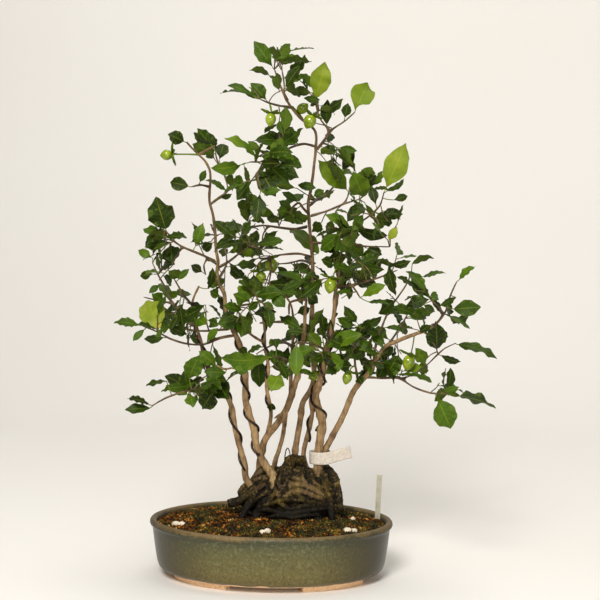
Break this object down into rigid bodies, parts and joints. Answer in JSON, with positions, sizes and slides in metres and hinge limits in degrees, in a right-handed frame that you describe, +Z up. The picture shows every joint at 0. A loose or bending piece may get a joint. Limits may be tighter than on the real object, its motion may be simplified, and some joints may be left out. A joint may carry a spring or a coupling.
{
  "type": "potted bonsai tree",
  "caption": "Princess persimmon bonsai with slim wired trunks, waved green leaves and pointed green fruits, growing in an oval glazed pot.",
  "frame": {"origin": "centre of the bounding box's bottom, on the floor under the pot's feet", "axes": "+Z up along the trunks, X along the pot's length with +X to the right in the front view, +Y away from the viewer in the front view"},
  "size_m": [0.4534, 0.3096, 0.6536],
  "materials": {
    "pot_glaze": "glossy speckled sage-green glaze over stoneware",
    "drain_plastic": "matte black plastic mesh",
    "soil": "loose baked clay grains with moss",
    "pebble": "matte pale pebble",
    "label_plastic": "translucent whitish plastic",
    "tag_paper": "matte white paper, blank",
    "wire_aluminium": "dark brown anodised, satin",
    "bark": "finely fissured brown bark",
    "fruit_skin": "glossy green fruit skin",
    "leaf": "thin green leaf, slightly waxy"
  },
  "bodies": {
    "root": {"drain_mesh_left": "drain_plastic", "drain_mesh_right": "drain_plastic", "fruit_01": "fruit_skin", "fruit_02": "fruit_skin", "fruit_03": "fruit_skin", "fruit_04": "fruit_skin", "fruit_05": "fruit_skin", "fruit_06": "fruit_skin", "fruit_07": "fruit_skin", "fruit_08": "fruit_skin", "fruit_09": "fruit_skin", "fruit_10": "fruit_skin", "label_stake": "label_plastic", "paper_tag": "tag_paper", "pebble_yellow": "pebble", "pebbles_front": "pebble", "pebbles_left": "pebble", "pebbles_right": "pebble", "pot": "pot_glaze", "soil": "soil", "spray_apex": "leaf", "spray_apex_left": "leaf", "spray_behind_centre": "leaf", "spray_behind_far_left": "leaf", "spray_behind_far_right": "leaf", "spray_behind_left": "leaf", "spray_behind_low": "leaf", "spray_behind_middle": "leaf", "spray_behind_right": "leaf", "spray_behind_upper": "leaf", "spray_bright_front": "leaf", "spray_centre_front": "leaf", "spray_crown_left": "leaf", "spray_far_right": "leaf", "spray_inner_left": "leaf", "spray_left_back": "leaf", "spray_left_front": "leaf", "spray_left_inner": "leaf", "spray_left_middle": "leaf", "spray_left_rising": "leaf", "spray_left_tall": "leaf", "spray_low_left": "leaf", "spray_low_right": "leaf", "spray_middle_left": "leaf", "spray_right_front": "leaf", "spray_right_inner": "leaf", "spray_right_tall": "leaf", "spray_shoulder_back": "leaf", "spray_shoulder_left": "leaf", "spray_top_right": "leaf", "spray_upper_back": "leaf", "spray_upper_left": "leaf", "spray_upper_right": "leaf", "trunk_clump": "bark", "wire_fork_left": "wire_aluminium", "wire_leaning_right": "wire_aluminium", "wire_outer_left": "wire_aluminium", "wire_pin": "wire_aluminium", "wire_tall_left": "wire_aluminium", "wire_thick_right": "wire_aluminium"}
  },
  "joints": []
}
